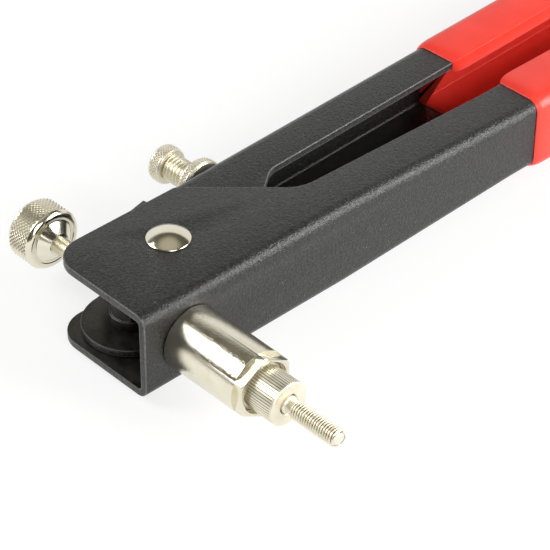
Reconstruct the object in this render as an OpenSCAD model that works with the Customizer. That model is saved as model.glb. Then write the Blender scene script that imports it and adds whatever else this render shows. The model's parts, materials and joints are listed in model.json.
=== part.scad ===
// Hand rivet nut setter: two channel handles, a trunnion draw and a screw-in nose.
// Origin: centre of the anvil's front face, where the flange of a rivet nut seats.
// +X out of the nose along the mandrel, +Y along the handles, +Z up, tool lying on its side.

/* [Head and fixed handle] */
// Thickness of the pressed steel sheet
sheet = 2.2; // [1.8:0.1:2.6]
// Height of the head over its two cheeks
head_height = 26.2; // [24:0.2:30]
// Depth of the head, from the front of its web to its back edge
head_depth = 37.2; // [36:0.2:42]
// Distance from the draw axis to the open end of the head
head_end = 15; // [14:0.5:20]
// Corner radius of the head's back corners
head_corner_r = 9; // [4:0.5:11]
// Outer radius of the sheet's bends
bend_r = 3.4; // [2.8:0.1:4.4]
// Distance along the handle where the slanted shoulder starts
shoulder_start = 28; // [24:1:32]
// Distance along the handle where the slanted shoulder ends
shoulder_end = 52.7; // [46:0.1:55]
// Fillet radius between shoulder and handle
shoulder_r = 11; // [4:0.5:14]
// Depth of the fixed handle's flanges
handle_depth = 14.2; // [12:0.2:15]
// Height of the fixed handle at its grip
handle_height = 22; // [18:0.2:24]
// Distance along the handle where its height starts to fall
taper_start = 56; // [50:1:70]
// Distance along the handle where its height stops falling
taper_end = 122; // [100:1:127]
// Distance from the draw axis to the steel end of both handles
handle_end = 238; // [200:1:260]
// Corner radius at the steel ends of the handles
handle_end_r = 6; // [3:0.5:7]

/* [Grips] */
// Thickness of the dipped grip
grip_wall = 1.2; // [0.6:0.1:1.4]
// Distance from the draw axis to the front edge of the fixed grip
grip_start = 130.3; // [124:0.1:150]
// Distance from the pivot to the front edge of the moving grip
lever_grip_start = 117; // [112:1:140]

/* [Moving handle] */
// Gap between the moving handle's flanges and the head's cheeks
cheek_gap = 0.3; // [0.2:0.05:0.6]
// Depth of the moving handle's flanges
lever_depth = 13.8; // [12:0.2:14.4]
// Distance from the pivot back to the moving handle's web
lever_web = 19.3; // [18.5:0.1:21]
// Distance along the moving handle, from the pivot, where its web starts
lever_web_start = 9; // [8:0.5:14]
// Distance from the pivot forward to the front edge of the moving cheeks
lever_cheek = 10; // [8:0.5:11]
// Distance from the pivot to the top of the moving cheeks
lever_cheek_top = 20; // [16:0.5:23]
// Distance from the pivot to where the cheeks run into the handle
lever_neck = 43; // [38:0.5:48]
// Fillet radius between the moving cheeks and the handle
lever_neck_r = 8; // [3:0.5:10]
// Radius of the moving handle's ears about the trunnion
ear_r = 13; // [10:0.5:13.5]
// Lean of the moving handle away from the fixed one at rest
lever_lean = 2.1; // [1:0.1:3]
// Turn from rest to closed handles
close_turn = 4.5; // [3:0.1:4.6]

/* [Pivot] */
// Distance of the pivot behind the front of the web
pivot_back = 21.4; // [20:0.2:23]
// Distance of the pivot beside the draw axis
pivot_side = 11.9; // [11.5:0.1:14]
// Radius of the pivot rivet's shank
rivet_r = 4; // [3:0.1:4.4]
// Radius of the rivet's heads
rivet_head_r = 6; // [5:0.1:7]
// Height of the rivet's domed heads
rivet_head_h = 2.2; // [1.6:0.1:3]
// Wall of the sleeve that keeps the moving cheeks apart
sleeve_wall = 1.3; // [0.8:0.1:1.6]
// Radial running gap of turning pieces
run_gap = 0.06; // [0.02:0.01:0.1]

/* [Nose] */
// Distance from the front of the web to the anvil's front face
nose_reach = 36.3; // [33:0.1:40]
// Radius of the nose housing
housing_r = 9.1; // [8.6:0.1:10.5]
// Length of the nose housing in front of the web
housing_length = 28; // [26:0.5:31]
// Width across the spanner flats on the housing's front
housing_flats = 15.8; // [15.4:0.1:17.4]
// Length of the spanner flats
flat_length = 2.8; // [2:0.2:5]
// Bevel on the front edge of the housing
housing_bevel = 0.5; // [0.3:0.1:1.2]
// Radius of the housing's threaded tail behind the web
tail_r = 6.2; // [5.8:0.1:6.6]
// Width across flats of the nut on the tail
tail_nut_flats = 15; // [14:0.2:15.4]
// Thickness of the nut on the tail
tail_nut_h = 4; // [3:0.2:5]
// Thickness of the washer under that nut
tail_washer_h = 1; // [0.6:0.1:1.6]
// Radius of the anvil's knurled collar
anvil_r = 6.15; // [5.4:0.05:6.6]
// Gap around the anvil in the mouth of the housing
mouth_gap = 0.85; // [0.3:0.05:1]
// Depth of the housing's mouth
mouth_depth = 6.5; // [5:0.5:8]
// Radius of the anvil's threaded stem
anvil_stem_r = 5; // [4.6:0.1:5.2]
// Length of the anvil's threaded stem
anvil_stem = 4.5; // [3:0.5:5]

/* [Draw] */
// Radius of the mandrel's thread
mandrel_r = 2.5; // [2:0.1:2.6]
// Reach of the mandrel in front of the anvil at rest
mandrel_out = 17.7; // [14:0.1:22]
// Length of the plain neck of the mandrel in front of the anvil at rest
mandrel_neck = 2.6; // [1.5:0.1:3.5]
// Radius of the plain neck of the mandrel
mandrel_neck_r = 2.1; // [1.6:0.05:2.1]
// Gap around the mandrel in the anvil
mandrel_gap = 0.25; // [0.1:0.05:0.4]
// Distance of the trunnion behind the front of the web at rest
trunnion_back = 23.5; // [23:0.1:24.5]
// Radius of the trunnion's barrel
trunnion_r = 5; // [4.6:0.1:5.2]
// Radius of the collars at the trunnion's ends
trunnion_collar_r = 5.5; // [5.2:0.1:5.8]
// Height of those collars
trunnion_collar_h = 2.9; // [2:0.1:3]
// Radius of the trunnion's journals in the ears
journal_r = 3.5; // [2.8:0.1:3.8]
// Gap beside the journals in the ears' slots
slot_gap = 0.15; // [0.12:0.01:0.25]
// Radius of the draw spindle's shank
spindle_r = 3; // [2.6:0.05:3.2]
// Radius of the draw spindle's front barrel
spindle_head_r = 4.2; // [4:0.05:4.3]
// Depth of the mandrel's seat in the spindle
mandrel_seat = 6; // [4:0.5:8]
// Width across flats of the mandrel's lock nut
mandrel_nut_flats = 7; // [6.4:0.1:7.2]
// Thickness of the mandrel's lock nut
mandrel_nut_h = 3.2; // [2.4:0.1:4]
// Thickness of the thrust washer behind the trunnion
thrust_washer_h = 1.2; // [0.8:0.1:2]
// Radius of the thrust washer
thrust_washer_r = 5.1; // [4.8:0.1:5.6]
// Width across flats of the thrust nut
thrust_nut_flats = 8.4; // [7.6:0.1:8.6]
// Thickness of the thrust nut
thrust_nut_h = 4.4; // [3:0.2:5]
// Length of the lock sleeve behind the thrust nut
lock_sleeve = 9.5; // [7:0.5:11]
// Radius of the lock sleeve
lock_sleeve_r = 4.2; // [3.8:0.1:4.6]

/* [Knob] */
// Radius of the knob's knurled rim
knob_r = 8.9; // [7.8:0.05:10]
// Length of the knob's rim
knob_length = 9.3; // [8:0.1:12]
// Bevel on the knob's rear edge
knob_bevel = 0.8; // [0.4:0.1:1.2]
// Bevel on the knob's front edge
knob_chamfer = 1.25; // [0.8:0.05:1.5]
// Width of the lip around the knob's front recess
knob_lip = 1; // [0.6:0.1:1.4]
// Depth of the knob's front recess
knob_recess = 0.3; // [0.1:0.1:1]
// Radius of the polished cone at its base
cone_r = 6.4; // [5:0.1:6.4]
// Reach of the cone in front of the rim
cone_length = 2.3; // [1.5:0.1:4]
// Radius of the thin neck of the spindle
neck_r = 2.4; // [2:0.05:2.5]
// Length of the bare neck between lock sleeve and cone
neck_length = 9.4; // [7:0.2:11]
// Radius of the grub screw in the knob
grub_r = 1.5; // [1:0.1:2]
// Length of the grub screw
grub_length = 4.4; // [3:0.2:5]

/* [Stop screw] */
// Distance of the stop screw from the pivot along the moving handle
stop_along = 34.8; // [32:0.1:38]
// Radius of the stop screw's thread
stop_r = 4; // [3:0.1:4.2]
// Radius of the stop screw's knurled head
stop_head_r = 5.65; // [5:0.05:7]
// Length of the stop screw's head
stop_head_h = 4.2; // [3:0.1:6]
// Bare thread between the head and the lock nut
stop_bare = 9.2; // [5:0.1:12]
// Radius of the knurled lock nut
lock_nut_r = 7.5; // [6.5:0.1:9]
// Thickness of the knurled lock nut
lock_nut_h = 3.4; // [3:0.1:6]
// Radius of the threaded boss in the moving handle's web
boss_r = 5.2; // [5:0.05:5.8]
// Reach of that boss behind the web
boss_length = 3.8; // [3:0.2:5]
// Thickness of the boss's riveted lip inside the web
boss_lip_h = 0.9; // [0.6:0.1:1.4]

/* [Hidden] */
$fn = 64;

coat = [0.13, 0.13, 0.125];
red = [0.82, 0.06, 0.04];
nickel = [0.82, 0.8, 0.74];
steel = [0.45, 0.45, 0.46];

// Room for cuts that run past a surface
past = 1;
// Half size of blocks that stand for endless space
space = 400;
// Flat faces of pieces that turn on each other stay this far apart
face_gap = 0.1;
// Small corner radii in the plan of the head and of the moving cheeks
shoulder_corner_r = 3;
cheek_corner_r = 6;
// Flat left at the round end of an ear, each side of its middle
ear_flat = 0.05;
// Fillet in the inner corners of the dipped grips
dip_fillet = 0.5;
// Depth of the flats on the front and back of the trunnion's barrel
trunnion_flat = 1.2;
// Room between the thrust washer and the trunnion's collars
washer_room = 0.2;
// Widest turn of an ear from its middle position, and the room left at its slot's ends
slot_turn = 19;
slot_room = 0.1;
// Thread of the housing's tail that shows behind its nut
tail_show = 0.8;
// Thread of the mandrel that shows in front of the anvil, before its plain neck
thread_show = 0.3;
// Thickness of the knob behind the end of the spindle
knob_floor = 3.6;
// Ring of the knob's recess around the cone
recess_ring = 0.2;
// Place of the grub screw, as a share of the knob's length
grub_place = 0.45;
// Room for the draw between the anvil's stem and the mandrel's lock nut at rest
draw_room = 6.8;
// Gap left under the stop screw's tip when the handles are closed
stop_tip_gap = 0.3;
// Step down to the boss's neck in the web, and step up to its riveted lip
boss_step = 0.4;
boss_lip = 0.5;

lever_height = head_height - 2 * (sheet + cheek_gap);
taper_angle = atan((head_height - handle_height) / 2 / (taper_end - taper_start));
lever_end = handle_end - pivot_side;

// Draw axis, measured from the front of the web
trunnion_half = trunnion_r - trunnion_flat;
collar_top = lever_height / 2 - sheet - face_gap;
collar_base = collar_top - trunnion_collar_h;
shoulder_x = face_gap + trunnion_half - trunnion_back;
thrust_x = -face_gap - trunnion_half - trunnion_back;
nut_x = thrust_x - thrust_washer_h;
sleeve_x = nut_x - thrust_nut_h;
neck_x = sleeve_x - lock_sleeve;
cone_x = neck_x - neck_length;
knob_x = cone_x - cone_length;
stub_x = knob_x - knob_length + knob_floor;
tail_end = -sheet - tail_washer_h - tail_nut_h - tail_show;
mouth_x = housing_length - mouth_depth;
stem_x = mouth_x - anvil_stem;
mandrel_nut_x = stem_x - draw_room;
spindle_x = mandrel_nut_x - mandrel_nut_h;
mandrel_x = spindle_x - mandrel_seat;
tip_x = nose_reach + mandrel_out;

// Ears and slots of the moving handle, measured from the pivot
ear_rest = [pivot_back - trunnion_back, -pivot_side];
ear_centre = turned_by(ear_rest, -lever_lean);
slot_near = pivot_side - slot_room;
slot_far = pivot_side / cos(slot_turn) + slot_room;

// Stop screw, measured from the pivot along the moving handle's own axes
boss_x = -lever_web - boss_length;
lock_nut_x = boss_x - face_gap - lock_nut_h;
stop_head_x = lock_nut_x - stop_bare;
stop_over = close_turn - lever_lean;
stop_tip_x = (pivot_back - sheet - stop_tip_gap - (stop_along + stop_r) * sin(stop_over)) / cos(stop_over);

function turned_by(v, a) = [v.x * cos(a) - v.y * sin(a), v.x * sin(a) + v.y * cos(a)];
function unit(v) = v / norm(v);
// Round corner of radius r at p, between the lines p-a and p-b: its centre, and where it meets p-a
function half_angle(p, a, b) = acos(unit(a - p) * unit(b - p)) / 2;
function round_centre(p, a, b, r) = p + unit(unit(a - p) + unit(b - p)) * r / sin(half_angle(p, a, b));
function touch(p, a, b, r) = p + unit(a - p) * r / tan(half_angle(p, a, b));
// The same corner as a notch that a circle at its centre then rounds
function notch(p, a, b, r) = [touch(p, a, b, r), round_centre(p, a, b, r), touch(p, b, a, r)];

// Places
module at_web() {
    translate([-nose_reach, 0, 0]) children();
}

module at_pivot() {
    at_web() translate([-pivot_back, pivot_side, 0]) children();
}

module in_lever() {
    at_pivot() rotate([0, 0, lever_lean]) children();
}

module at_stop() {
    in_lever() translate([0, stop_along, 0]) children();
}

module both_sides() {
    for (side = [0, 1]) mirror([0, 0, side]) children();
}

// Turned piece about X, outline as points of distance along X and radius
module turned(outline) {
    rotate([0, 90, 0]) rotate_extrude() polygon([for (p = outline) [p[1], p[0]]]);
}

// Hexagon bar along X with two of its flats facing up and down
module hex_bar(x, length, flats) {
    translate([x, 0, 0]) rotate([0, 90, 0]) rotate([0, 0, 30])
        cylinder(h = length, r = flats / sqrt(3), $fn = 6);
}

module bar_x(x, length, r) {
    translate([x, 0, 0]) rotate([0, 90, 0]) cylinder(h = length, r = r);
}

// What a round corner of radius r takes off a corner at p between p-a and p-b
module corner_piece(p, a, b, r) {
    c = round_centre(p, a, b, r);
    difference() {
        polygon([p + unit(p - c) * past, touch(p, a, b, r), c, touch(p, b, a, r)]);
        translate(c) circle(r);
    }
}

// Section of a block with its two web corners round: web at x = 0, middle at y = 0
module block_section(depth, height, r) {
    translate([-depth, -height / 2]) square([depth - r, height]);
    translate([-depth, r - height / 2]) square([depth, height - 2 * r]);
    for (side = [-1, 1]) translate([-r, side * (height / 2 - r)]) circle(r);
}

module channel_section(depth, height) {
    difference() {
        block_section(depth, height, bend_r);
        translate([-sheet, 0]) block_section(depth, height - 2 * sheet, bend_r - sheet);
    }
}

// The same channel with a dipped coat all round it
module coat_section(depth, height) {
    inside = sheet + grip_wall;
    difference() {
        translate([grip_wall, 0])
            block_section(depth + 2 * grip_wall, height + 2 * grip_wall, bend_r + grip_wall);
        translate([-inside, 0]) block_section(depth + past, height - 2 * inside, dip_fillet);
    }
}

// Section below one round bend of the web: top at y = 0, no bottom in reach
module bend_section(depth, r) {
    translate([-depth, -space / 4]) square([depth, space / 4 - r]);
    translate([-depth, -r]) square([depth - r, r]);
    translate([-r, -r]) circle(r);
}

// A section in the X-Z plane, drawn out along Y
module run(from, to) {
    translate([0, to, 0]) rotate([90, 0, 0]) linear_extrude(to - from) children();
}

// A plan outline, drawn out along Z past everything
module plan() {
    translate([0, 0, -space / 2]) linear_extrude(space) children();
}

// Everything below the falling upper bend of the fixed handle
module taper_side(inset) {
    translate([0, taper_start, head_height / 2]) rotate([-taper_angle, 0, 0])
        run(-taper_start - head_end - 2 * past, handle_end) translate([0, -inset])
            bend_section(head_depth + past, bend_r - inset);
}

// Block that fills the fixed channel's outside, or with the sheet as inset, its inside
module body_block(inset) {
    depth = head_depth + past;
    start = -head_end - past;
    end = handle_end + past;
    translate([-inset, 0, 0]) intersection() {
        run(start, end) block_section(depth, head_height - 2 * inset, bend_r - inset);
        union() {
            run(start, end) block_section(depth, handle_height - 2 * inset, bend_r - inset);
            intersection() {
                taper_side(inset);
                mirror([0, 0, 1]) taper_side(inset);
            }
        }
    }
}

// Plan outline of the head and fixed handle
module body_plan() {
    back_corner = [-head_depth, -head_end];
    shoulder_a = [-head_depth, shoulder_start];
    shoulder_b = [-handle_depth, shoulder_end];
    end_corner = [-handle_depth, handle_end];
    difference() {
        polygon(concat([back_corner, shoulder_a], notch(shoulder_b, shoulder_a, end_corner, shoulder_r),
                       [end_corner, [0, handle_end], [0, -head_end]]));
        translate(round_centre(shoulder_b, shoulder_a, end_corner, shoulder_r)) circle(shoulder_r);
        corner_piece(back_corner, [0, -head_end], shoulder_a, head_corner_r);
        corner_piece(shoulder_a, back_corner, shoulder_b, shoulder_corner_r);
        corner_piece(end_corner, shoulder_b, [0, handle_end], handle_end_r);
    }
}

module body_frame() {
    color(coat) difference() {
        at_web() intersection() {
            difference() {
                body_block(0);
                body_block(sheet);
            }
            plan() body_plan();
        }
        at_web() bar_x(-sheet - past, sheet + 2 * past, tail_r);
        at_pivot() cylinder(h = space, r = rivet_r, center = true);
    }
}

// Plan outline of a dipped grip around a handle of this flange depth
module grip_plan(depth, start, end) {
    reach = depth + grip_wall;
    far = end + grip_wall;
    difference() {
        translate([-reach, start]) square([reach + grip_wall, far - start]);
        corner_piece([-reach, far], [-reach, start], [grip_wall, far], handle_end_r + grip_wall);
    }
}

// Dipped grip on a straight channel handle: coat inside and out, closed over the end
module grip(depth, height, start, end) {
    difference() {
        intersection() {
            run(start, end + grip_wall) coat_section(depth, height);
            plan() grip_plan(depth, start, end);
        }
        intersection() {
            run(start - past, end) channel_section(depth, height);
            plan() difference() {
                translate([-depth, 0]) square([depth, end]);
                corner_piece([-depth, end], [-depth, start], [0, end], handle_end_r);
            }
        }
    }
}

module fixed_grip() {
    color(red) at_web() grip(handle_depth, handle_height, grip_start, handle_end);
}

// Plan outline of the moving handle, measured from the pivot
module lever_plan() {
    inner = lever_depth - lever_web;
    neck = [inner, lever_neck];
    cheek = [lever_cheek, lever_cheek_top];
    end_corner = [inner, lever_end];
    ear_back = ear_centre - [ear_r, 0];
    ear_front = ear_centre + [ear_r, 0];
    low_back = ear_back - [0, ear_r];
    low_front = ear_front - [0, ear_r];
    ear_round = ear_r - ear_flat;
    difference() {
        polygon(concat([low_back, ear_back, [-lever_web, lever_web_start], [-lever_web, lever_end],
                        end_corner],
                       notch(neck, end_corner, cheek, lever_neck_r), [cheek, ear_front, low_front]));
        translate(round_centre(neck, end_corner, cheek, lever_neck_r)) circle(lever_neck_r);
        corner_piece(low_back, ear_back, low_front, ear_round);
        corner_piece(low_front, ear_front, low_back, ear_round);
        corner_piece(cheek, neck, ear_front, cheek_corner_r);
        corner_piece(end_corner, neck, [-lever_web, lever_end], handle_end_r);
    }
}

// Slot along the line from pivot to trunnion
module ear_slot() {
    width = journal_r + slot_gap;
    rotate([0, 0, atan2(ear_centre.y, ear_centre.x)]) {
        for (x = [slot_near, slot_far]) translate([x, 0]) circle(width);
        translate([slot_near, -width]) square([slot_far - slot_near, 2 * width]);
    }
}

module moving_handle() {
    flange_depth = lever_web + lever_cheek + ear_r;
    color(coat) in_lever() difference() {
        intersection() {
            translate([-lever_web, 0, 0]) {
                mirror([1, 0, 0]) run(lever_web_start, lever_end + past)
                    channel_section(flange_depth, lever_height);
                both_sides() translate([0, -space / 2, lever_height / 2 - sheet])
                    cube([flange_depth, space / 2 + lever_web_start, sheet]);
            }
            plan() lever_plan();
        }
        cylinder(h = space, r = rivet_r + run_gap, center = true);
        plan() ear_slot();
        translate([0, stop_along, 0]) bar_x(-lever_web - past, sheet + 2 * past, boss_r - boss_step);
    }
}

module moving_grip() {
    color(red) in_lever() translate([-lever_web, 0, 0]) mirror([1, 0, 0])
        grip(lever_depth, lever_height, lever_grip_start, lever_end);
}

module dome(r, h) {
    ball = (r * r + h * h) / (2 * h);
    intersection() {
        translate([0, 0, h - ball]) sphere(ball);
        cylinder(h = h, r = r);
    }
}

module pivot_rivet() {
    color(nickel) at_pivot() {
        cylinder(h = head_height, r = rivet_r, center = true);
        both_sides() translate([0, 0, head_height / 2]) dome(rivet_head_r, rivet_head_h);
    }
}

module pivot_sleeve() {
    length = lever_height - 2 * sheet;
    bore = rivet_r + run_gap;
    color(steel) at_pivot() difference() {
        cylinder(h = length, r = bore + sleeve_wall, center = true);
        cylinder(h = length + past, r = bore, center = true);
    }
}

module nose_housing() {
    bore = spindle_head_r + face_gap;
    mouth_r = anvil_r + mouth_gap;
    color(nickel) at_web() difference() {
        turned([[tail_end, bore], [tail_end, tail_r], [0, tail_r], [0, housing_r],
                [housing_length - housing_bevel, housing_r], [housing_length, housing_r - housing_bevel],
                [housing_length, mouth_r], [mouth_x, mouth_r], [mouth_x, anvil_stem_r],
                [stem_x, anvil_stem_r], [stem_x, bore]]);
        for (i = [0 : 5]) rotate([60 * i + 30, 0, 0])
            translate([housing_length - flat_length, -housing_r, housing_flats / 2])
                cube([flat_length + past, 2 * housing_r, housing_r]);
    }
}

module housing_washer() {
    outer = tail_nut_flats / 2;
    color(steel) at_web() difference() {
        bar_x(-sheet - tail_washer_h, tail_washer_h, outer);
        bar_x(-sheet - tail_washer_h - past, tail_washer_h + 2 * past, tail_r);
    }
}

module housing_nut() {
    x = -sheet - tail_washer_h - tail_nut_h;
    color(steel) at_web() difference() {
        hex_bar(x, tail_nut_h, tail_nut_flats);
        bar_x(x - past, tail_nut_h + 2 * past, tail_r);
    }
}

module anvil() {
    bore = mandrel_r + mandrel_gap;
    bevel = 0.5;
    color(nickel) at_web()
        turned([[stem_x, bore], [stem_x, anvil_stem_r], [mouth_x, anvil_stem_r], [mouth_x, anvil_r],
                [nose_reach - bevel, anvil_r], [nose_reach, anvil_r - bevel], [nose_reach, bore]]);
}

module mandrel() {
    bevel = 0.7;
    neck_start = nose_reach + thread_show;
    neck_stop = nose_reach + mandrel_neck;
    slope = mandrel_r - mandrel_neck_r;
    color(nickel) at_web()
        turned([[mandrel_x, 0], [mandrel_x, mandrel_r], [neck_start, mandrel_r],
                [neck_start + slope, mandrel_neck_r], [neck_stop - slope, mandrel_neck_r],
                [neck_stop, mandrel_r], [tip_x - bevel, mandrel_r], [tip_x, mandrel_r - bevel], [tip_x, 0]]);
}

module mandrel_lock_nut() {
    color(steel) at_web() difference() {
        hex_bar(spindle_x, mandrel_nut_h, mandrel_nut_flats);
        bar_x(spindle_x - past, mandrel_nut_h + 2 * past, mandrel_r);
    }
}

module spindle() {
    color(steel) at_web()
        turned([[stub_x, 0], [stub_x, neck_r], [neck_x, neck_r], [neck_x, spindle_r], [shoulder_x, spindle_r],
                [shoulder_x, spindle_head_r], [spindle_x, spindle_head_r], [spindle_x, mandrel_r],
                [mandrel_x, mandrel_r], [mandrel_x, 0]]);
}

module trunnion() {
    journal_end = lever_height / 2 - face_gap;
    color(steel) at_web() translate([-trunnion_back, 0, 0]) difference() {
        union() {
            intersection() {
                cylinder(h = 2 * collar_base, r = trunnion_r, center = true);
                cube([2 * trunnion_half, 2 * trunnion_r, 2 * collar_base], center = true);
            }
            both_sides() translate([0, 0, collar_base])
                cylinder(h = trunnion_collar_h, r = trunnion_collar_r);
            cylinder(h = 2 * journal_end, r = journal_r, center = true);
        }
        bar_x(-trunnion_r - past, 2 * (trunnion_r + past), spindle_r + run_gap);
        // Low heads: the washer's room is turned out of the collars, down to the barrel's flat
        bar_x(-trunnion_collar_r - past, trunnion_collar_r + past - trunnion_half,
              thrust_washer_r + washer_room);
    }
}

module thrust_washer() {
    outer = thrust_washer_r;
    color(steel) at_web()
        turned([[nut_x, spindle_r], [nut_x, outer], [thrust_x, outer], [thrust_x, spindle_r]]);
}

module thrust_nut() {
    color(steel) at_web() difference() {
        hex_bar(sleeve_x, thrust_nut_h, thrust_nut_flats);
        bar_x(sleeve_x - past, thrust_nut_h + 2 * past, spindle_r);
    }
}

module thrust_sleeve() {
    bevel = 0.8;
    color(nickel) at_web()
        turned([[neck_x, spindle_r], [neck_x, lock_sleeve_r - bevel], [neck_x + bevel, lock_sleeve_r],
                [sleeve_x, lock_sleeve_r], [sleeve_x, spindle_r]]);
}

module at_grub() {
    at_web() translate([knob_x - knob_length * grub_place, 0, 0]) rotate([180, 0, 0]) children();
}

module knob() {
    rear = knob_x - knob_length;
    floor_x = knob_x - knob_recess;
    lip_r = knob_r - knob_chamfer - knob_lip;
    cone_base = min(cone_r, lip_r - recess_ring);
    color(nickel) difference() {
        at_web() turned([[stub_x, 0], [stub_x, neck_r], [cone_x, neck_r], [floor_x, cone_base],
                         [floor_x, lip_r], [knob_x, lip_r], [knob_x, knob_r - knob_chamfer],
                         [knob_x - knob_chamfer, knob_r],
                         [rear + knob_bevel, knob_r], [rear, knob_r - knob_bevel], [rear, 0]]);
        at_grub() cylinder(h = knob_r + past, r = grub_r);
    }
}

module knob_grub_screw() {
    socket_flats = grub_r;
    socket_depth = grub_length / 3;
    color(steel) at_grub() translate([0, 0, neck_r]) difference() {
        cylinder(h = grub_length, r = grub_r);
        translate([0, 0, grub_length - socket_depth])
            cylinder(h = socket_depth + past, r = socket_flats / sqrt(3), $fn = 6);
    }
}

module stop_boss() {
    lip_x = sheet - lever_web;
    rivet_neck = boss_r - boss_step;
    bore = stop_r + run_gap;
    color(steel) at_stop()
        turned([[boss_x, bore], [boss_x, boss_r], [-lever_web, boss_r], [-lever_web, rivet_neck],
                [lip_x, rivet_neck], [lip_x, boss_r + boss_lip], [lip_x + boss_lip_h, boss_r],
                [lip_x + boss_lip_h, bore]]);
}

module stop_screw() {
    rear = stop_head_x - stop_head_h;
    bevel = 0.5;
    color(nickel) at_stop()
        turned([[rear, 0], [rear, stop_head_r - bevel], [rear + bevel, stop_head_r],
                [stop_head_x - bevel, stop_head_r], [stop_head_x, stop_head_r - bevel],
                [stop_head_x, stop_r], [stop_tip_x - bevel, stop_r], [stop_tip_x, stop_r - bevel],
                [stop_tip_x, 0]]);
}

module stop_lock_nut() {
    front = lock_nut_x + lock_nut_h;
    bore = stop_r + run_gap;
    bevel = 0.6;
    color(nickel) at_stop()
        turned([[lock_nut_x, bore], [lock_nut_x, lock_nut_r - bevel], [lock_nut_x + bevel, lock_nut_r],
                [front - bevel, lock_nut_r], [front, lock_nut_r - bevel], [front, bore]]);
}

body_frame();
fixed_grip();
moving_handle();
moving_grip();
pivot_rivet();
pivot_sleeve();
nose_housing();
housing_washer();
housing_nut();
anvil();
mandrel();
mandrel_lock_nut();
spindle();
trunnion();
thrust_washer();
thrust_nut();
thrust_sleeve();
knob();
knob_grub_screw();
stop_boss();
stop_screw();
stop_lock_nut();
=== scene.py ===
# Hand setter for rivet nuts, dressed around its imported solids. Metres, in the solids' own frame.
import json
import math

import bpy
from mathutils import Matrix, Vector


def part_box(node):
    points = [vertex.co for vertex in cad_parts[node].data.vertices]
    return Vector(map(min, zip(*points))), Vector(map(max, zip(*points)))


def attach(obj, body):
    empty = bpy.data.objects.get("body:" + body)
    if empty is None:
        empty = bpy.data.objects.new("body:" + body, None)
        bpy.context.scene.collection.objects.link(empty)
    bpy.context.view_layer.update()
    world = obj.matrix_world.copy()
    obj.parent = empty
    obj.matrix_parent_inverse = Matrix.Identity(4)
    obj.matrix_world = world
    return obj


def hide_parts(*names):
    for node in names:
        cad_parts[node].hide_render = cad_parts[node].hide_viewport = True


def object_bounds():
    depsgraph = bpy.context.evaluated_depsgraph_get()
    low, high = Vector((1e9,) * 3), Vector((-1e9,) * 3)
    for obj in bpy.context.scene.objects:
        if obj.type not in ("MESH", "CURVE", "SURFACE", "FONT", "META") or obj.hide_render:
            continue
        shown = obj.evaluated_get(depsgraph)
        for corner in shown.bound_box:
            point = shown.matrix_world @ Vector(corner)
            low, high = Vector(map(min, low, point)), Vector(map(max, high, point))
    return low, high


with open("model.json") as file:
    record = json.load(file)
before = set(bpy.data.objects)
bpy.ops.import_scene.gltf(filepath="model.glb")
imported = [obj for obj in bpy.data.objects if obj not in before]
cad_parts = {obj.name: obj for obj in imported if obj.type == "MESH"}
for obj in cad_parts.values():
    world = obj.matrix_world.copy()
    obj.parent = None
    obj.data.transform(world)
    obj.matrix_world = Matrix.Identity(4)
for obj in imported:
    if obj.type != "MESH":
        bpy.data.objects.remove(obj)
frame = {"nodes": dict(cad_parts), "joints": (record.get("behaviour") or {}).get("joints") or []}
cad_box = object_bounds()
nodes = frame["nodes"]
MM = 0.001

# Camera
# A long lens in front of the nose and above the head, as the tool was photographed.
CAMERA_TURN = math.radians(46.40)
CAMERA_LIFT = math.radians(37.83)
CAMERA_ROLL = math.radians(0.445)
CAMERA_EYE = (0.3265, -0.3160, 0.3929)
CAMERA_LENS = 160.5

aim = Matrix.Rotation(CAMERA_TURN, 3, "Z") @ Matrix.Rotation(math.pi / 2 - CAMERA_LIFT, 3, "X")
aim = aim @ Matrix.Rotation(CAMERA_ROLL, 3, "Z")
bpy.ops.object.camera_add(location=CAMERA_EYE, rotation=aim.to_euler())
camera = bpy.context.object
camera.data.sensor_width = 36
camera.data.lens = CAMERA_LENS
camera.data.clip_start = 0.01
bpy.context.scene.camera = camera
bpy.context.scene.view_settings.view_transform = "Standard"

# Table and studio
# A white table under the tool, soft boxes on the left and in front, one low on the right, a bright
# paper backdrop behind, and a dim room above them that the plated pieces mirror.
TABLE_SIZE = 6
TABLE_COLOUR = (0.92, 0.92, 0.915, 1)
TABLE_LIFT = 0.72
ROOM_LIGHT = 0.33
BACKDROP_SIDE = (-0.72, 0.69, 0)
ABOVE_BACKDROP = (0.655, -0.628, 1)


def link(tree, source, target):
    tree.links.new(source, target)


def add(tree, kind, **settings):
    """A new node with its properties and, under inputs, its socket values set."""
    made = tree.nodes.new(kind)
    for socket, value in settings.pop("inputs", {}).items():
        made.inputs[socket].default_value = value
    for key, value in settings.items():
        setattr(made, key, value)
    return made


def seen_directly(tree):
    """1 for rays that see the studio itself, from the camera, in a mirror or through glass."""
    path = add(tree, "ShaderNodeLightPath")
    first = add(tree, "ShaderNodeMath", operation="MAXIMUM")
    both = add(tree, "ShaderNodeMath", operation="MAXIMUM")
    link(tree, path.outputs["Is Camera Ray"], first.inputs[0])
    link(tree, path.outputs["Is Glossy Ray"], first.inputs[1])
    link(tree, first.outputs[0], both.inputs[0])
    link(tree, path.outputs["Is Transmission Ray"], both.inputs[1])
    return both.outputs[0]


def ramp(tree, stops, source):
    """A colour ramp with its stops as pairs of place and grey or colour."""
    made = add(tree, "ShaderNodeValToRGB")
    elements = made.color_ramp.elements
    while len(elements) < len(stops):
        elements.new(0.5)
    for element, (place, colour) in zip(elements, stops):
        element.position = place
        element.color = colour if len(colour) == 4 else (*colour, 1)
    link(tree, source, made.inputs["Fac"])
    return made.outputs["Color"]


def grey(value):
    return (value, value, value, 1)


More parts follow.
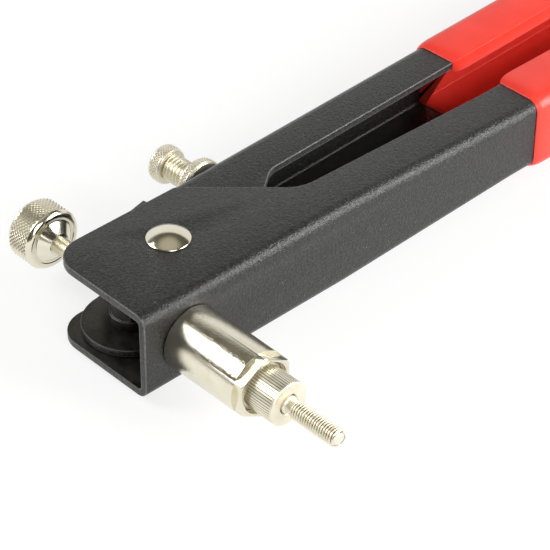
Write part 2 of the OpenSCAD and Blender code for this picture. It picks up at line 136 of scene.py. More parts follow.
def shader(name):
    """A new material as its tree, its Principled shader and its object coordinates."""
    material = bpy.data.materials.new(name)
    material.use_nodes = True
    tree = material.node_tree
    coordinates = add(tree, "ShaderNodeTexCoord").outputs["Object"]
    return material, tree, tree.nodes["Principled BSDF"], coordinates


bpy.ops.object.select_all(action="DESELECT")
bpy.ops.mesh.primitive_plane_add(size=TABLE_SIZE, location=(0, 0, cad_box[0].z - 0.0001))
table = bpy.context.object
table.name = "table"
table_finish, tree, plain, _ = shader("table_finish")
plain.inputs["Base Color"].default_value = TABLE_COLOUR
plain.inputs["Roughness"].default_value = 0.9
white = add(tree, "ShaderNodeEmission", inputs={"Color": (1, 1, 1, 1), "Strength": 1.04})
share = add(tree, "ShaderNodeMath", operation="MULTIPLY", inputs={1: TABLE_LIFT})
mixed = add(tree, "ShaderNodeMixShader")
link(tree, seen_directly(tree), share.inputs[0])
link(tree, share.outputs[0], mixed.inputs[0])
link(tree, plain.outputs[0], mixed.inputs[1])
link(tree, white.outputs[0], mixed.inputs[2])
link(tree, mixed.outputs[0], tree.nodes["Material Output"].inputs["Surface"])
table.data.materials.append(table_finish)

world = bpy.data.worlds.new("studio")
bpy.context.scene.world = world
world.use_nodes = True
tree = world.node_tree
soft = tree.nodes["Background"]
soft.inputs["Color"].default_value = (1, 1, 0.99, 1)
soft.inputs["Strength"].default_value = ROOM_LIGHT
room = add(tree, "ShaderNodeBackground", inputs={"Strength": 1})
direction = add(tree, "ShaderNodeTexCoord").outputs["Generated"]
split = add(tree, "ShaderNodeSeparateXYZ")
link(tree, direction, split.inputs[0])
room_walls = ramp(tree, [(0, (0.10, 0.095, 0.08)), (0.66, (0.09, 0.085, 0.07)), (0.83, (0.13, 0.125, 0.10)),
                         (0.94, (0.44, 0.42, 0.35)), (1, (0.50, 0.48, 0.41))], split.outputs["Z"])
facing = add(tree, "ShaderNodeVectorMath", operation="DOT_PRODUCT", inputs={1: BACKDROP_SIDE})
link(tree, direction, facing.inputs[0])
sideways = add(tree, "ShaderNodeMapRange", inputs={"From Min": 0.05, "From Max": 0.3})
over_edge = add(tree, "ShaderNodeVectorMath", operation="DOT_PRODUCT", inputs={1: ABOVE_BACKDROP})
link(tree, direction, over_edge.inputs[0])
upwards = add(tree, "ShaderNodeMapRange", inputs={"From Min": 0.05, "From Max": -0.04})
link(tree, facing.outputs["Value"], sideways.inputs["Value"])
link(tree, over_edge.outputs["Value"], upwards.inputs["Value"])
on_backdrop = add(tree, "ShaderNodeMath", operation="MULTIPLY")
link(tree, sideways.outputs["Result"], on_backdrop.inputs[0])
link(tree, upwards.outputs["Result"], on_backdrop.inputs[1])
surroundings = add(tree, "ShaderNodeMix", data_type="RGBA")
surroundings.inputs[7].default_value = grey(0.9)
link(tree, on_backdrop.outputs[0], surroundings.inputs[0])
link(tree, room_walls, surroundings.inputs[6])
link(tree, surroundings.outputs[2], room.inputs["Color"])
mixed = add(tree, "ShaderNodeMixShader")
link(tree, seen_directly(tree), mixed.inputs[0])
link(tree, soft.outputs[0], mixed.inputs[1])
link(tree, room.outputs[0], mixed.inputs[2])
link(tree, mixed.outputs[0], tree.nodes["World Output"].inputs["Surface"])


def soft_box(name, direction, distance, width, height, power):
    """A rectangular soft box that faces the middle of the head."""
    towards = Vector(direction).normalized()
    middle = Vector((-0.03, 0.03, 0))
    bpy.ops.object.light_add(type="AREA", location=middle + towards * distance,
                             rotation=towards.to_track_quat("Z", "Y").to_euler())
    lamp = bpy.context.object
    lamp.name = name
    lamp.data.shape = "RECTANGLE"
    lamp.data.size = width
    lamp.data.size_y = height
    lamp.data.energy = power


soft_box("left_box", (-0.60, -0.54, 0.60), 0.9, 0.45, 0.40, 4.2)
soft_box("right_box", (0.72, 0.56, 0.40), 0.95, 0.6, 0.55, 11)
soft_box("front_box", (0.85, -0.35, 0.45), 1.1, 0.6, 0.6, 6.0)


# Head and fixed handle
# One pressed steel channel with its edges blunted before coating, in black powder coat with a
# fine orange peel. The rounded edges are coloured lighter: partly thin coat where the steel shows,
# partly a painted highlight along them.
COAT_DARK = (0.002, 0.002, 0.0018, 1)
COAT_LIGHT = (0.031, 0.031, 0.0295, 1)
COAT_DUST = (0.22, 0.22, 0.21, 1)
# Darker, brownish coat colours for the inner faces of the flanges: painted shade inside the channels.
SHADED_COAT_DARK = (0.0015, 0.0014, 0.0012, 1)
SHADED_COAT_LIGHT = (0.020, 0.016, 0.012, 1)
COAT_EDGE = 0.3
BLUNT_ANGLE = math.radians(35)


def only(piece):
    """Makes this the one selected and active object."""
    bpy.ops.object.select_all(action="DESELECT")
    piece.select_set(True)
    bpy.context.view_layer.objects.active = piece


def noise(tree, source, size, detail=2.0, roughness=0.5):
    """Noise with cells of about this size in millimetres."""
    made = add(tree, "ShaderNodeTexNoise", inputs={"Scale": 1 / (size * MM), "Detail": detail, "Roughness": roughness})
    link(tree, source, made.inputs["Vector"])
    return made.outputs["Fac"]


def bump(tree, shader_node, layers, strength):
    """Bumps the shader by heights given as pairs of a texture and its depth in millimetres."""
    normal = None
    for height, depth in layers:
        made = add(tree, "ShaderNodeBump", inputs={"Strength": strength, "Distance": depth * MM})
        link(tree, height, made.inputs["Height"])
        if normal is not None:
            link(tree, normal, made.inputs["Normal"])
        normal = made.outputs["Normal"]
    link(tree, normal, shader_node.inputs["Normal"])


def blended(tree, factor, low, high):
    """Colours low to high by the factor."""
    made = add(tree, "ShaderNodeMix", data_type="RGBA")
    link(tree, factor, made.inputs[0])
    for socket, value in ((made.inputs[6], low), (made.inputs[7], high)):
        if isinstance(value, tuple):
            socket.default_value = value
        else:
            link(tree, value, socket)
    return made.outputs[2]


def spread(tree, source, low, high):
    """The source's middle range spread between two numbers."""
    made = add(tree, "ShaderNodeMapRange", inputs={"From Min": 0.3, "From Max": 0.7, "To Min": low, "To Max": high})
    link(tree, source, made.inputs["Value"])
    return made.outputs["Result"]


def powder_coat(name, dark, light):
    material, tree, plain, place = shader(name)
    peel = noise(tree, place, 0.9, 2)
    grain = noise(tree, place, 0.7, 3, 0.65)
    specks = ramp(tree, [(0.0, grey(0)), (0.66, grey(0)), (0.70, grey(1))], noise(tree, place, 0.8, 4, 0.8))
    base = blended(tree, spread(tree, grain, 0, 1), dark, light)
    link(tree, blended(tree, specks, base, COAT_DUST), plain.inputs["Base Color"])
    link(tree, spread(tree, peel, 0.27, 0.38), plain.inputs["Roughness"])
    plain.inputs["Specular IOR Level"].default_value = 0.5
    bump(tree, plain, [(peel, 0.14), (grain, 0.24)], 0.9)
    return material


def copied(node, name, finish, edge_finish):
    """A copy of a solid with a finish for its faces and one for its edges."""
    mesh = nodes[node].data.copy()
    mesh.materials.clear()
    mesh.materials.append(finish)
    mesh.materials.append(edge_finish)
    piece = bpy.data.objects.new(name, mesh)
    bpy.context.scene.collection.objects.link(piece)
    only(piece)
    bpy.ops.object.mode_set(mode="EDIT")
    bpy.ops.mesh.select_all(action="SELECT")
    bpy.ops.mesh.remove_doubles(threshold=0.03 * MM)
    bpy.ops.mesh.dissolve_limited(angle_limit=math.radians(0.5))
    bpy.ops.object.mode_set(mode="OBJECT")
    return piece


def rounded(piece, width):
    """Rounds the sharp edges of a piece to this width in millimetres."""
    only(piece)
    rounding = piece.modifiers.new("rounding", "BEVEL")
    rounding.width = width * MM
    rounding.segments = 3
    rounding.limit_method = "ANGLE"
    rounding.angle_limit = BLUNT_ANGLE
    rounding.use_clamp_overlap = False
    rounding.material = 1
    bpy.ops.object.modifier_apply(modifier=rounding.name)
    bpy.ops.object.shade_smooth_by_angle(angle=BLUNT_ANGLE)


def softened(node, name, width, finish, edge_finish):
    """A solid with rounded edges. Where two edges run nearly together, their corner is set back on the solid."""
    piece = copied(node, name, finish, edge_finish)
    rounded(piece, width)
    for vertex in piece.data.vertices:
        on_solid = nodes[node].closest_point_on_mesh(vertex.co)[1]
        if (vertex.co - on_solid).length > 0.6 * width * MM:
            vertex.co = on_solid
    return piece


def refinished(piece, finish, chosen):
    """Gives another finish to the faces that are chosen by their place in millimetres and their normal."""
    piece.data.materials.append(finish)
    last = len(piece.data.materials) - 1
    for face in piece.data.polygons:
        if chosen(*(face.center / MM), face.normal):
            face.material_index = last


# Chooses the flanges' inner faces, which are given the darker coat as painted shade.
def shaded_inside_faces(x, y, z, normal):
    return normal.z * z < 0 and abs(normal.z) > 0.7


# The darker coat, with a cloudy tone between its two colours, used as painted shade.
def shaded_coat():
    material, tree, plain, place = shader("shaded_coat")
    cloud = noise(tree, place, 3.5, 4, 0.65)
    grain = noise(tree, place, 0.6, 3, 0.6)
    link(tree, blended(tree, spread(tree, cloud, 0, 1), SHADED_COAT_DARK, SHADED_COAT_LIGHT), plain.inputs["Base Color"])
    link(tree, spread(tree, cloud, 0.28, 0.46), plain.inputs["Roughness"])
    plain.inputs["Specular IOR Level"].default_value = 0.4
    bump(tree, plain, [(cloud, 0.05), (grain, 0.08)], 0.8)
    return material


coat = powder_coat("powder_coat", COAT_DARK, COAT_LIGHT)
# Lighter coat on the rounded edges: partly thin coat over the steel, partly a painted highlight.
worn_lit_edge_coat = powder_coat("thin_coat_and_edge_highlight", (0.06, 0.06, 0.058, 1), (0.13, 0.13, 0.126, 1))
coat_in_shade = shaded_coat()
channel = softened("body_frame", "head_channel", COAT_EDGE, coat, worn_lit_edge_coat)
# The inner faces of the flanges get the darker coat: painted shade inside the channel.
refinished(channel, coat_in_shade, shaded_inside_faces)
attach(channel, "frame")
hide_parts("body_frame")

# Moving handle
# A narrower pressed channel in the same coat, nested between the cheeks of the head. Its bare
# ears reach round to the trunnion.
handle = softened("moving_handle", "moving_channel", COAT_EDGE, coat, worn_lit_edge_coat)
# The inner faces of its flanges get the darker coat: painted shade inside the channel.
refinished(handle, coat_in_shade, shaded_inside_faces)
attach(handle, "lever")
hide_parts("moving_handle")

# Grips
# Both handles are dipped in soft red plastic, inside and out. The dip thins out towards its front
# edge, and its skin is slightly wavy.
GRIP_RED = (0.80, 0.046, 0.028, 1)
GRIP_DEEP = (0.74, 0.038, 0.023, 1)
LEAN = math.radians(2.1)
RUN_OUT = ((0, 0.2), (0.5, 0.45), (1.2, 0.68), (2.2, 0.86), (3.4, 0.96), (5, 1))


def dipped_plastic():
    material, tree, plain, place = shader("dipped_plastic")
    wave = noise(tree, place, 9, 1)
    skin = noise(tree, place, 0.8, 2)
    link(tree, blended(tree, spread(tree, wave, 0, 1), GRIP_DEEP, GRIP_RED), plain.inputs["Base Color"])
    link(tree, spread(tree, skin, 0.30, 0.38), plain.inputs["Roughness"])
    plain.inputs["Specular IOR Level"].default_value = 0.45
    bump(tree, plain, [(wave, 0.12), (skin, 0.012)], 0.6)
    return material


def thinned(sleeve, steel, along):
    """Thins the front of a dip towards the steel under it. Its shares of the full coat are in RUN_OUT,
    by distance from the front edge along the handle."""
    front = min(vertex.co.dot(along) for vertex in sleeve.data.vertices)
    only(sleeve)
    bpy.ops.object.mode_set(mode="EDIT")
    for back, _ in RUN_OUT[1:]:
        bpy.ops.mesh.select_all(action="SELECT")
        bpy.ops.mesh.bisect(plane_co=along * (front + back * MM), plane_no=along)
    bpy.ops.object.mode_set(mode="OBJECT")
    for vertex in sleeve.data.vertices:
        back = (vertex.co.dot(along) - front) / MM
        for place, coat_share in RUN_OUT:
            if abs(back - place) < 0.05:
                under = steel.closest_point_on_mesh(vertex.co)[1]
                vertex.co = under + (vertex.co - under) * coat_share


dip = dipped_plastic()
for node, name, body, steel, lean in (
        ("fixed_grip", "fixed_handle_grip", "frame", channel, 0),
        ("moving_grip", "moving_handle_grip", "lever", handle, LEAN)):
    sleeve = copied(node, name, dip, dip)
    thinned(sleeve, steel, Vector((-math.sin(lean), math.cos(lean), 0)))
    rounded(sleeve, 0.12)
    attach(sleeve, body)
    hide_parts(node)

# Pivot
# A plated rivet with a smooth domed head on each cheek, through a plain steel sleeve that keeps
# the moving cheeks apart.
NICKEL = (0.84, 0.80, 0.67, 1)
NICKEL_WARM = (0.78, 0.73, 0.57, 1)
STEEL_DARK = (0.055, 0.053, 0.050, 1)
STEEL_WORN = (0.16, 0.155, 0.145, 1)


def nickel_plate(name, grain_depth, smooth, dull, metal=1.0, cell=0.4):
    material, tree, plain, place = shader(name)
    plain.inputs["Metallic"].default_value = metal
    cloud = noise(tree, place, 4, 3)
    grain = noise(tree, place, cell, 1, 0.6)
    link(tree, blended(tree, spread(tree, cloud, 0, 1), NICKEL_WARM, NICKEL), plain.inputs["Base Color"])
    link(tree, spread(tree, cloud, smooth, dull), plain.inputs["Roughness"])
    bump(tree, plain, [(grain, grain_depth)], 0.8)
    return material


def oiled_steel(name, dark, worn):
    material, tree, plain, place = shader(name)
    plain.inputs["Metallic"].default_value = 0.85
    cloud = noise(tree, place, 2.5, 4, 0.6)
    grain = noise(tree, place, 0.3, 2)
    link(tree, blended(tree, spread(tree, cloud, 0, 1), dark, worn), plain.inputs["Base Color"])
    link(tree, spread(tree, cloud, 0.34, 0.5), plain.inputs["Roughness"])
    bump(tree, plain, [(cloud, 0.03), (grain, 0.015)], 0.7)
    return material


bright = nickel_plate("bright_nickel", 0.004, 0.12, 0.2)
satin = nickel_plate("satin_nickel", 0.01, 0.16, 0.26)
grained = nickel_plate("grained_nickel", 0.06, 0.15, 0.21, cell=0.34)
worn = nickel_plate("worn_nickel", 0.02, 0.34, 0.46, metal=0.8)
knurled = nickel_plate("knurled_nickel", 0.01, 0.22, 0.30, metal=0.85)
# Dark brown for the knurl's grooves and the thread's roots: dirt, and painted shade in these hollows.
dirt_and_shade = oiled_steel("groove_dirt_and_shade", (0.17, 0.145, 0.10, 1), (0.30, 0.26, 0.19, 1))
steel = oiled_steel("oiled_steel", STEEL_DARK, (0.085, 0.082, 0.077, 1))
steel_edge = oiled_steel("oiled_steel_edge", STEEL_WORN, (0.26, 0.25, 0.235, 1))


def turned(name, outline, steps, finish, soft=0.12, sharp=()):
    """A piece turned about the draw axis, from a closed outline of places along it and radii in millimetres.
    The outline's corners are softened before it is spun, apart from the ones listed as sharp."""
    bpy.ops.object.select_all(action="DESELECT")
    bpy.ops.mesh.primitive_circle_add(vertices=len(outline), radius=MM)
    piece = bpy.context.object
    piece.name = name
    piece.data.name = name
    points = [Vector(p) for p in outline]
    corners = []
    for i, p in enumerate(points):
        piece.data.vertices[i].co = (p.x * MM, 0, p.y * MM)
        before = p - points[i - 1]
        after = points[(i + 1) % len(points)] - p
        corners.append(p.y > 0 and i not in sharp and before.angle(after) > math.radians(12))
    bpy.ops.object.mode_set(mode="EDIT")
    bpy.ops.mesh.select_all(action="DESELECT")
    bpy.ops.object.mode_set(mode="OBJECT")
    for vertex, corner in zip(piece.data.vertices, corners):
        vertex.select = corner
    bpy.ops.object.mode_set(mode="EDIT")
    bpy.ops.mesh.select_mode(type="VERT")
    if soft:
        bpy.ops.mesh.bevel(affect="VERTICES", offset=soft * MM, segments=2, clamp_overlap=True)
    bpy.ops.mesh.select_all(action="SELECT")
    bpy.ops.mesh.spin(steps=steps, angle=2 * math.pi, center=(0, 0, 0), axis=(1, 0, 0))
    bpy.ops.mesh.select_all(action="SELECT")
    bpy.ops.mesh.remove_doubles(threshold=0.002 * MM)
    bpy.ops.mesh.normals_make_consistent(inside=False)
    bpy.ops.object.mode_set(mode="OBJECT")
    piece.data.materials.append(finish)
    bpy.ops.object.shade_smooth_by_angle(angle=BLUNT_ANGLE)
    return piece


def in_ring(start, end, inner, outer):
    """Chooses the faces between two places along the draw axis and two radii."""
    return lambda x, y, z, normal: start < x < end and inner < math.hypot(y, z) < outer


def placed(piece, matrix):
    """Moves a piece from the draw axis to its own place."""
    only(piece)
    piece.matrix_world = matrix
    bpy.ops.object.transform_apply()


PIVOT = Vector(frame["joints"][0]["pos_m"])
RIVET_R = 6.0
RIVET_SHANK_R = 4.0
RIVET_RIM = 0.25
low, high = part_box("body_frame")
CHEEK = high.z / MM
low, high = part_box("pivot_rivet")
RIVET_TOP = high.z / MM

dome_height = RIVET_TOP - CHEEK - RIVET_RIM
dome_ball = (RIVET_R ** 2 + dome_height ** 2) / (2 * dome_height)
dome = [(RIVET_TOP - dome_ball + math.sqrt(dome_ball ** 2 - r * r), r) for r in (0, 1, 2, 3, 4, 5, 5.6, RIVET_R)]
half = [*dome, (CHEEK, RIVET_R), (CHEEK, RIVET_SHANK_R)]
rivet = turned("rivet", half + [(-z, r) for z, r in reversed(half)], 144, bright, soft=0.15)
placed(rivet, Matrix.Translation(PIVOT) @ Matrix.Rotation(-math.pi / 2, 4, "Y"))
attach(rivet, "frame")
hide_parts("pivot_rivet")

piece = softened("pivot_sleeve", "rivet_sleeve", 0.12, steel, steel_edge)
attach(piece, "lever")
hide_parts("pivot_sleeve")

# Nose housing
# A plated steel tube screwed through the web, with six spanner flats at its front and a threaded
# mouth for the anvil. A washer and a nut hold it behind the web.
low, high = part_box("nose_housing")
HOUSING_BACK = low.x / MM
HOUSING_FRONT = high.x / MM
WEB_FRONT = HOUSING_FRONT - 28
HOUSING_R = 9.1
TAIL_R = 6.2
MOUTH_R = 7.0
MOUTH_FLOOR = HOUSING_FRONT - 6.5
STEM_FLOOR = MOUTH_FLOOR - 4.5
FLATS = 15.8
FLAT_LENGTH = 2.8
MOUTH_PITCH = 1.0

mouth = []
for turn in range(5):
    crest = HOUSING_FRONT - 0.9 - turn * MOUTH_PITCH
    mouth += [(crest, MOUTH_R + 0.02), (crest - 0.45 * MOUTH_PITCH, MOUTH_R + 0.45)]
housing = turned("nose_tube", [
    (HOUSING_BACK, 4.3), (HOUSING_BACK, TAIL_R), (WEB_FRONT, TAIL_R), (WEB_FRONT, HOUSING_R - 0.35),
    (WEB_FRONT + 0.35, HOUSING_R), (HOUSING_FRONT - 0.4, HOUSING_R), (HOUSING_FRONT, HOUSING_R - 0.4),
    (HOUSING_FRONT, MOUTH_R + 0.3), *mouth, (MOUTH_FLOOR, MOUTH_R), (MOUTH_FLOOR, 5.0),
    (STEM_FLOOR, 5.0), (STEM_FLOOR, 4.3)], 120, grained)
back, front = HOUSING_FRONT - FLAT_LENGTH, HOUSING_FRONT + FLAT_LENGTH
corner = FLATS / math.sqrt(3)
flats = turned("flats_tool", [(back - 1, 0), (back - 1, corner), (front + 1, corner), (front + 1, 0)], 6, satin, 0)
ring = turned("ring_tool", [(back, 0), (back, 2 * HOUSING_R), (front, 2 * HOUSING_R), (front, 0)], 48, satin, 0)


def cut(piece, tool, operation):
    """Cuts or joins a piece with a tool, which is then removed."""
    only(piece)
    made = piece.modifiers.new("cut", "BOOLEAN")
    made.operation = operation
    made.object = tool
    made.solver = "EXACT"
    bpy.ops.object.modifier_apply(modifier=made.name)
    bpy.data.objects.remove(tool)


cut(ring, flats, "DIFFERENCE")
cut(housing, ring, "DIFFERENCE")
bpy.ops.object.shade_smooth_by_angle(angle=BLUNT_ANGLE)
refinished(housing, satin, in_ring(HOUSING_FRONT - FLAT_LENGTH - 0.1, HOUSING_FRONT + 0.1, 0, 2 * HOUSING_R))
refinished(housing, worn, in_ring(MOUTH_FLOOR - 0.1, HOUSING_FRONT - 0.2, 5, MOUTH_R + 0.5))
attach(housing, "frame")
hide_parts("nose_housing")

for node, name in (("housing_washer", "tail_washer"), ("housing_nut", "tail_nut")):
    piece = softened(node, name, 0.2, steel, steel_edge)
    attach(piece, "frame")
    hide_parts(node)

# Anvil
# The nosepiece that the rivet nut seats on: a plated collar with straight knurling, screwed into
# the mouth of the housing. The end of its own thread shows behind the collar.
ANVIL_R = 6.15
ANVIL_BORE = 2.75
ANVIL_GROOVES = 52
GROOVE_POINTS = 8
GROOVE_DEPTH = 0.26
COLLAR_BACK = HOUSING_FRONT - 0.9
THREAD_FRONT = COLLAR_BACK - 0.6

nose = turned("nosepiece", [
    (STEM_FLOOR, ANVIL_BORE), (STEM_FLOOR, 5.0), (MOUTH_FLOOR + 0.1, 5.0), (MOUTH_FLOOR + 0.1, MOUTH_R - 0.15),
    (THREAD_FRONT - 0.3, MOUTH_R - 0.15), (THREAD_FRONT, ANVIL_R - 0.1), (THREAD_FRONT, ANVIL_R - 0.5),
    (COLLAR_BACK - 0.2, ANVIL_R - 0.5), (COLLAR_BACK, ANVIL_R), (COLLAR_BACK + 0.1, ANVIL_R), (-0.7, ANVIL_R),
    (-0.45, ANVIL_R), (-0.3, ANVIL_R), (0, ANVIL_R - 0.3), (0, ANVIL_BORE + 0.3), (-0.3, ANVIL_BORE)],
    ANVIL_GROOVES * GROOVE_POINTS, worn, soft=0.08)
only(nose)
bpy.ops.object.mode_set(mode="EDIT")
bpy.ops.mesh.select_all(action="DESELECT")
bpy.ops.object.mode_set(mode="OBJECT")
for vertex in nose.data.vertices:
    x, y, z = vertex.co / MM
    around = math.atan2(y, z) / (2 * math.pi) * ANVIL_GROOVES
    in_groove = abs(around - round(around)) < 0.4 / GROOVE_POINTS
    in_band = COLLAR_BACK - 0.15 < x < -0.6 and math.hypot(y, z) > ANVIL_R - 0.15
    vertex.select = in_groove and in_band
bpy.ops.object.mode_set(mode="EDIT")
pull = 1 - GROOVE_DEPTH / ANVIL_R
bpy.ops.transform.resize(value=(1, pull, pull), center_override=(0, 0, 0))
bpy.ops.object.mode_set(mode="OBJECT")
bpy.ops.object.shade_smooth_by_angle(angle=math.radians(20))
# The knurl's groove floors are coloured dark brown: dirt, and painted shade in the grooves.
refinished(nose, dirt_and_shade, in_ring(COLLAR_BACK, -0.6, ANVIL_R - 0.2, ANVIL_R - 0.06))
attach(nose, "frame")
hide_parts("anvil")

# Mandrel
# A plated rod with a metric thread, a short plain neck at the anvil and a rounded tip with the
# dimple of its turning centre. A small nut locks it in the draw spindle.
low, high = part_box("mandrel")
MANDREL_BACK = low.x / MM
MANDREL_TIP = high.x / MM
MANDREL_R = 2.5
MANDREL_PITCH = 0.8
THREAD_DEPTH = 0.42
NECK_END = 2.6


def threaded(name, radius, depth, pitch, start, end, finish, steps=40):
    """A rod with a thread cut along the draw axis from start to end, flat at both ends."""
    root = radius - depth
    profile = [(0, root), (0.19, root), (0.42, radius), (0.58, radius), (0.81, root), (1, root)]
    bpy.ops.object.select_all(action="DESELECT")
    bpy.ops.mesh.primitive_circle_add(vertices=len(profile), radius=MM)
    piece = bpy.context.object
    piece.name = name
    piece.data.name = name
    first = start - pitch
    for vertex, (x, r) in zip(piece.data.vertices, profile):
        vertex.co = ((first + x * pitch) * MM, 0, r * MM)
    bpy.ops.object.mode_set(mode="EDIT")
    bpy.ops.mesh.select_all(action="DESELECT")
    bpy.ops.object.mode_set(mode="OBJECT")
    last = len(profile) - 1
    for edge in piece.data.edges:
        edge.select = set(edge.vertices) == {0, last}
    bpy.ops.object.mode_set(mode="EDIT")
    bpy.ops.mesh.select_mode(type="EDGE")
    bpy.ops.mesh.delete(type="EDGE")
    bpy.ops.object.mode_set(mode="OBJECT")
    helix = piece.modifiers.new("helix", "SCREW")
    helix.axis = "X"
    helix.steps = steps
    helix.render_steps = steps
    helix.screw_offset = pitch * MM
    helix.iterations = math.ceil((end - start) / pitch) + 2
    bpy.ops.object.modifier_apply(modifier=helix.name)
    bpy.ops.object.mode_set(mode="EDIT")
    bpy.ops.mesh.select_mode(type="VERT")
    bpy.ops.mesh.select_all(action="SELECT")
    bpy.ops.mesh.remove_doubles(threshold=0.002 * MM)
    bpy.ops.mesh.bisect(plane_co=(start * MM, 0, 0), plane_no=(1, 0, 0), use_fill=True, clear_inner=True)
    bpy.ops.mesh.select_all(action="SELECT")
    bpy.ops.mesh.bisect(plane_co=(end * MM, 0, 0), plane_no=(1, 0, 0), use_fill=True, clear_outer=True)
    bpy.ops.mesh.select_all(action="SELECT")
    bpy.ops.mesh.normals_make_consistent(inside=False)
    bpy.ops.object.mode_set(mode="OBJECT")
    piece.data.materials.append(finish)
    return piece


def turn_down(piece, outline):
    """Takes the piece down to an outline of places along the draw axis and radii, as on a lathe."""
    for vertex in piece.data.vertices:
        x, y, z = vertex.co / MM
        for (x0, r0), (x1, r1) in zip(outline, outline[1:]):
            if x0 <= x <= x1:
                limit = r0 + (r1 - r0) * (x - x0) / max(x1 - x0, 1e-6)
                over = math.hypot(y, z) / max(limit, 1e-6)
                if over > 1:
                    vertex.co = Vector((x, y / over, z / over)) * MM


rod = threaded("threaded_rod", MANDREL_R, THREAD_DEPTH, MANDREL_PITCH, NECK_END - 0.5, MANDREL_TIP - 0.05, worn)
turn_down(rod, [(0, 2.08), (NECK_END - 0.35, 2.08), (NECK_END + 0.2, 2.5), (MANDREL_TIP - 1.0, 2.5),
                (MANDREL_TIP - 0.3, 2.0), (MANDREL_TIP, 1.7)])
neck = turned("rod_neck", [
    (MANDREL_BACK, 0), (MANDREL_BACK, MANDREL_R - 0.2), (MANDREL_BACK + 0.2, MANDREL_R), (0.3, MANDREL_R),
    (0.7, 2.1), (NECK_END - 0.2, 2.1), (NECK_END, 1.6), (NECK_END, 0)], 40, worn, soft=0.05)
cut(rod, neck, "UNION")
tip = turned("rod_tip", [
    (MANDREL_TIP - 0.4, 0), (MANDREL_TIP - 0.4, 1.9), (MANDREL_TIP - 0.15, 1.75), (MANDREL_TIP, 1.35),
    (MANDREL_TIP, 0.6), (MANDREL_TIP - 0.3, 0)], 40, worn, soft=0.08)
cut(rod, tip, "UNION")
bpy.ops.object.shade_smooth_by_angle(angle=math.radians(25))
root = MANDREL_R - THREAD_DEPTH
# The thread's roots are coloured dark brown: dirt, and painted shade in the roots.
refinished(rod, dirt_and_shade, in_ring(NECK_END, MANDREL_TIP - 0.5, root - 0.1, root + 0.08))
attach(rod, "draw_spindle")
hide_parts("mandrel")

# Draw train
# Inside the head: the spindle that pulls the mandrel, its lock nut, the trunnion that the ears
# push, and the washer, nut and plated sleeve that take the push. Oiled steel, worn bright at the
# edges.
for node, name, body, width, finish in (
        ("mandrel_lock_nut", "rod_lock_nut", "draw_spindle", 0.25, steel),
        ("spindle", "draw_spindle_bar", "draw_spindle", 0.2, steel),
        # The trunnion takes the darker coat too: painted shade inside the head.
        ("trunnion", "trunnion_barrel", "draw_block", 0.1, coat_in_shade),
        ("thrust_washer", "push_washer", "draw_spindle", 0.2, steel),
        ("thrust_nut", "push_nut", "draw_spindle", 0.3, steel)):
    piece = softened(node, name, width, finish, steel_edge)
    refinished(piece, worn, in_ring(-120, -75, 0, 4))
    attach(piece, body)
    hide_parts(node)
piece = softened("thrust_sleeve", "lock_sleeve", 0.2, bright, bright)
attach(piece, "draw_spindle")
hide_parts("thrust_sleeve")

# Rear knob
# Turned from bar and plated: a diamond-knurled rim, a polished round front edge behind a fine
# groove, and a polished cone down to the spindle's neck. A grub screw fixes it from below.
low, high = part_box("knob")
KNOB_BACK = low.x / MM
CONE_TIP = high.x / MM
KNOB_FRONT = KNOB_BACK + 9.3
KNOB_R = 8.9
KNURL_HEIGHT = 0.36


def rows(start, end, radius, count):
    """Points along a straight band, to knurl later."""
    return [(start + (end - start) * i / count, radius) for i in range(count + 1)]


def knurl(piece, start, end, radius, height):
    """Raises a diamond knurl on the band of square faces at this radius between two places."""
    only(piece)
    before = len(piece.data.vertices)
    bpy.ops.object.mode_set(mode="EDIT")
    bpy.ops.mesh.select_mode(type="FACE")
    bpy.ops.mesh.select_all(action="DESELECT")
    bpy.ops.object.mode_set(mode="OBJECT")
    band = set()
    for face in piece.data.polygons:
        corners = [piece.data.vertices[i].co / MM for i in face.vertices]
        face.select = all(start - 0.01 < c.x < end + 0.01 and abs(math.hypot(c.y, c.z) - radius) < 0.01
                          for c in corners)
        if face.select:
            band.update(face.vertices)
    bpy.ops.object.mode_set(mode="EDIT")
    bpy.ops.mesh.poke()
    bpy.ops.mesh.select_mode(type="EDGE")
    bpy.ops.mesh.select_all(action="DESELECT")
    bpy.ops.object.mode_set(mode="OBJECT")
    for edge in piece.data.edges:
        a, b = (piece.data.vertices[i].co.x / MM for i in edge.vertices)
        at_rim = abs(a - b) < 0.01 and (abs(a - start) < 0.01 or abs(a - end) < 0.01)
        edge.select = all(i in band for i in edge.vertices) and not at_rim
    bpy.ops.object.mode_set(mode="EDIT")
    bpy.ops.mesh.dissolve_edges(use_verts=False)
    bpy.ops.mesh.select_mode(type="FACE")
    bpy.ops.mesh.select_all(action="DESELECT")
    bpy.ops.object.mode_set(mode="OBJECT")
    for face in piece.data.polygons:
        inside = [i in band or i >= before for i in face.vertices]
        face.select = len(inside) == 4 and all(inside)
    bpy.ops.object.mode_set(mode="EDIT")
    bpy.ops.mesh.poke(offset=height * MM)
    bpy.ops.mesh.select_all(action="SELECT")
    bpy.ops.mesh.normals_make_consistent(inside=False)
    bpy.ops.object.mode_set(mode="OBJECT")
    bpy.ops.object.shade_smooth_by_angle(angle=math.radians(22))


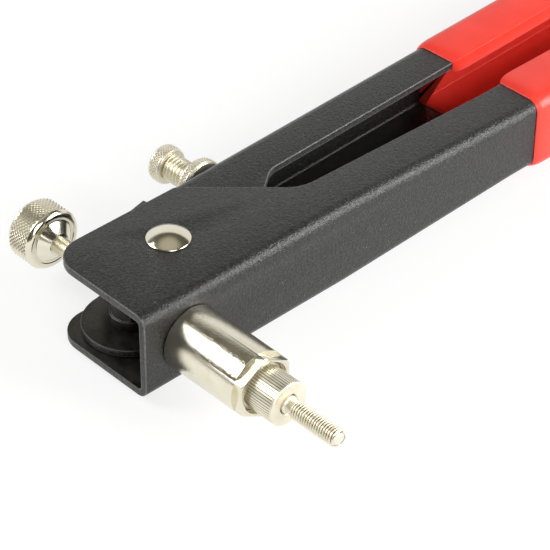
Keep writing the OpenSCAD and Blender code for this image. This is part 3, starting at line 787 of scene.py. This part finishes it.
rim = KNOB_R - KNURL_HEIGHT
band = (KNOB_BACK + 0.8, KNOB_FRONT - 1.55)
knob = turned("rear_knob", [
    (KNOB_BACK, 0), (KNOB_BACK, KNOB_R - 0.9), *rows(*band, rim, 6), (KNOB_FRONT - 1.45, rim - 0.3),
    (KNOB_FRONT - 1.3, rim - 0.3), (KNOB_FRONT - 1.25, KNOB_R - 0.04), (KNOB_FRONT - 0.75, KNOB_R - 0.3),
    (KNOB_FRONT - 0.3, KNOB_R - 0.75), (KNOB_FRONT, KNOB_R - 1.25), (KNOB_FRONT, 6.75), (KNOB_FRONT - 0.15, 6.6),
    (KNOB_FRONT - 0.15, 5.95), (CONE_TIP, 3.2), (CONE_TIP, 0)], 44, bright, sharp=(2, 8))
knurl(knob, *band, rim, KNURL_HEIGHT)
refinished(knob, knurled, in_ring(KNOB_BACK + 0.1, KNOB_FRONT - 1.5, rim - 0.05, KNOB_R))
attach(knob, "draw_spindle")
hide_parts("knob")

piece = softened("knob_grub_screw", "grub_screw", 0.1, steel, steel_edge)
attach(piece, "draw_spindle")
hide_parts("knob_grub_screw")

# Stroke stop
# A plated screw through a boss in the moving handle's web, with a knurled head, and a knurled nut
# that locks it. It stands square to the moving handle.
STOP_ALONG = 34.8 * MM
NUT_BACK = -26.6
NUT_FRONT = -23.2
HEAD_BACK = -40.0
HEAD_FRONT = -35.8
STOP_TIP = 17.29
STOP_R = 4.0
STOP_PITCH = 1.25
HEAD_R = 5.65
NUT_R = 7.5


on_handle = Matrix.Translation(PIVOT) @ Matrix.Rotation(LEAN, 4, "Z") @ Matrix.Translation((0, STOP_ALONG, 0))

piece = softened("stop_boss", "screw_boss", 0.12, steel, steel_edge)
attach(piece, "lever")
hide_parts("stop_boss")

screw = threaded("stroke_screw", STOP_R, 0.6, STOP_PITCH, HEAD_FRONT - 0.3, STOP_TIP, worn, 48)
turn_down(screw, [(HEAD_FRONT, 4.0), (STOP_TIP - 0.8, 4.0), (STOP_TIP, 3.2)])
rim = HEAD_R - 0.28
band = (HEAD_BACK + 0.5, HEAD_FRONT - 0.5)
head = turned("screw_head", [
    (HEAD_BACK, 0), (HEAD_BACK, HEAD_R - 0.6), *rows(*band, rim, 3), (HEAD_FRONT, HEAD_R - 0.6),
    (HEAD_FRONT, 0)], 32, worn, soft=0.1)
knurl(head, *band, rim, 0.26)
cut(screw, head, "UNION")
bpy.ops.object.shade_smooth_by_angle(angle=math.radians(22))
placed(screw, on_handle)
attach(screw, "stop")
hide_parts("stop_screw")

rim = NUT_R - 0.28
band = (NUT_BACK + 0.4, NUT_FRONT - 0.9)
nut = turned("stroke_nut", [
    (NUT_BACK, 4.06), (NUT_BACK, NUT_R - 0.6), *rows(*band, rim, 2), (NUT_FRONT - 0.8, NUT_R - 0.05),
    (NUT_FRONT, NUT_R - 0.7), (NUT_FRONT, 4.06)], 44, worn, soft=0.1, sharp=(2, 4))
knurl(nut, *band, rim, 0.26)
placed(nut, on_handle)
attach(nut, "stop_nut")
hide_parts("stop_lock_nut")
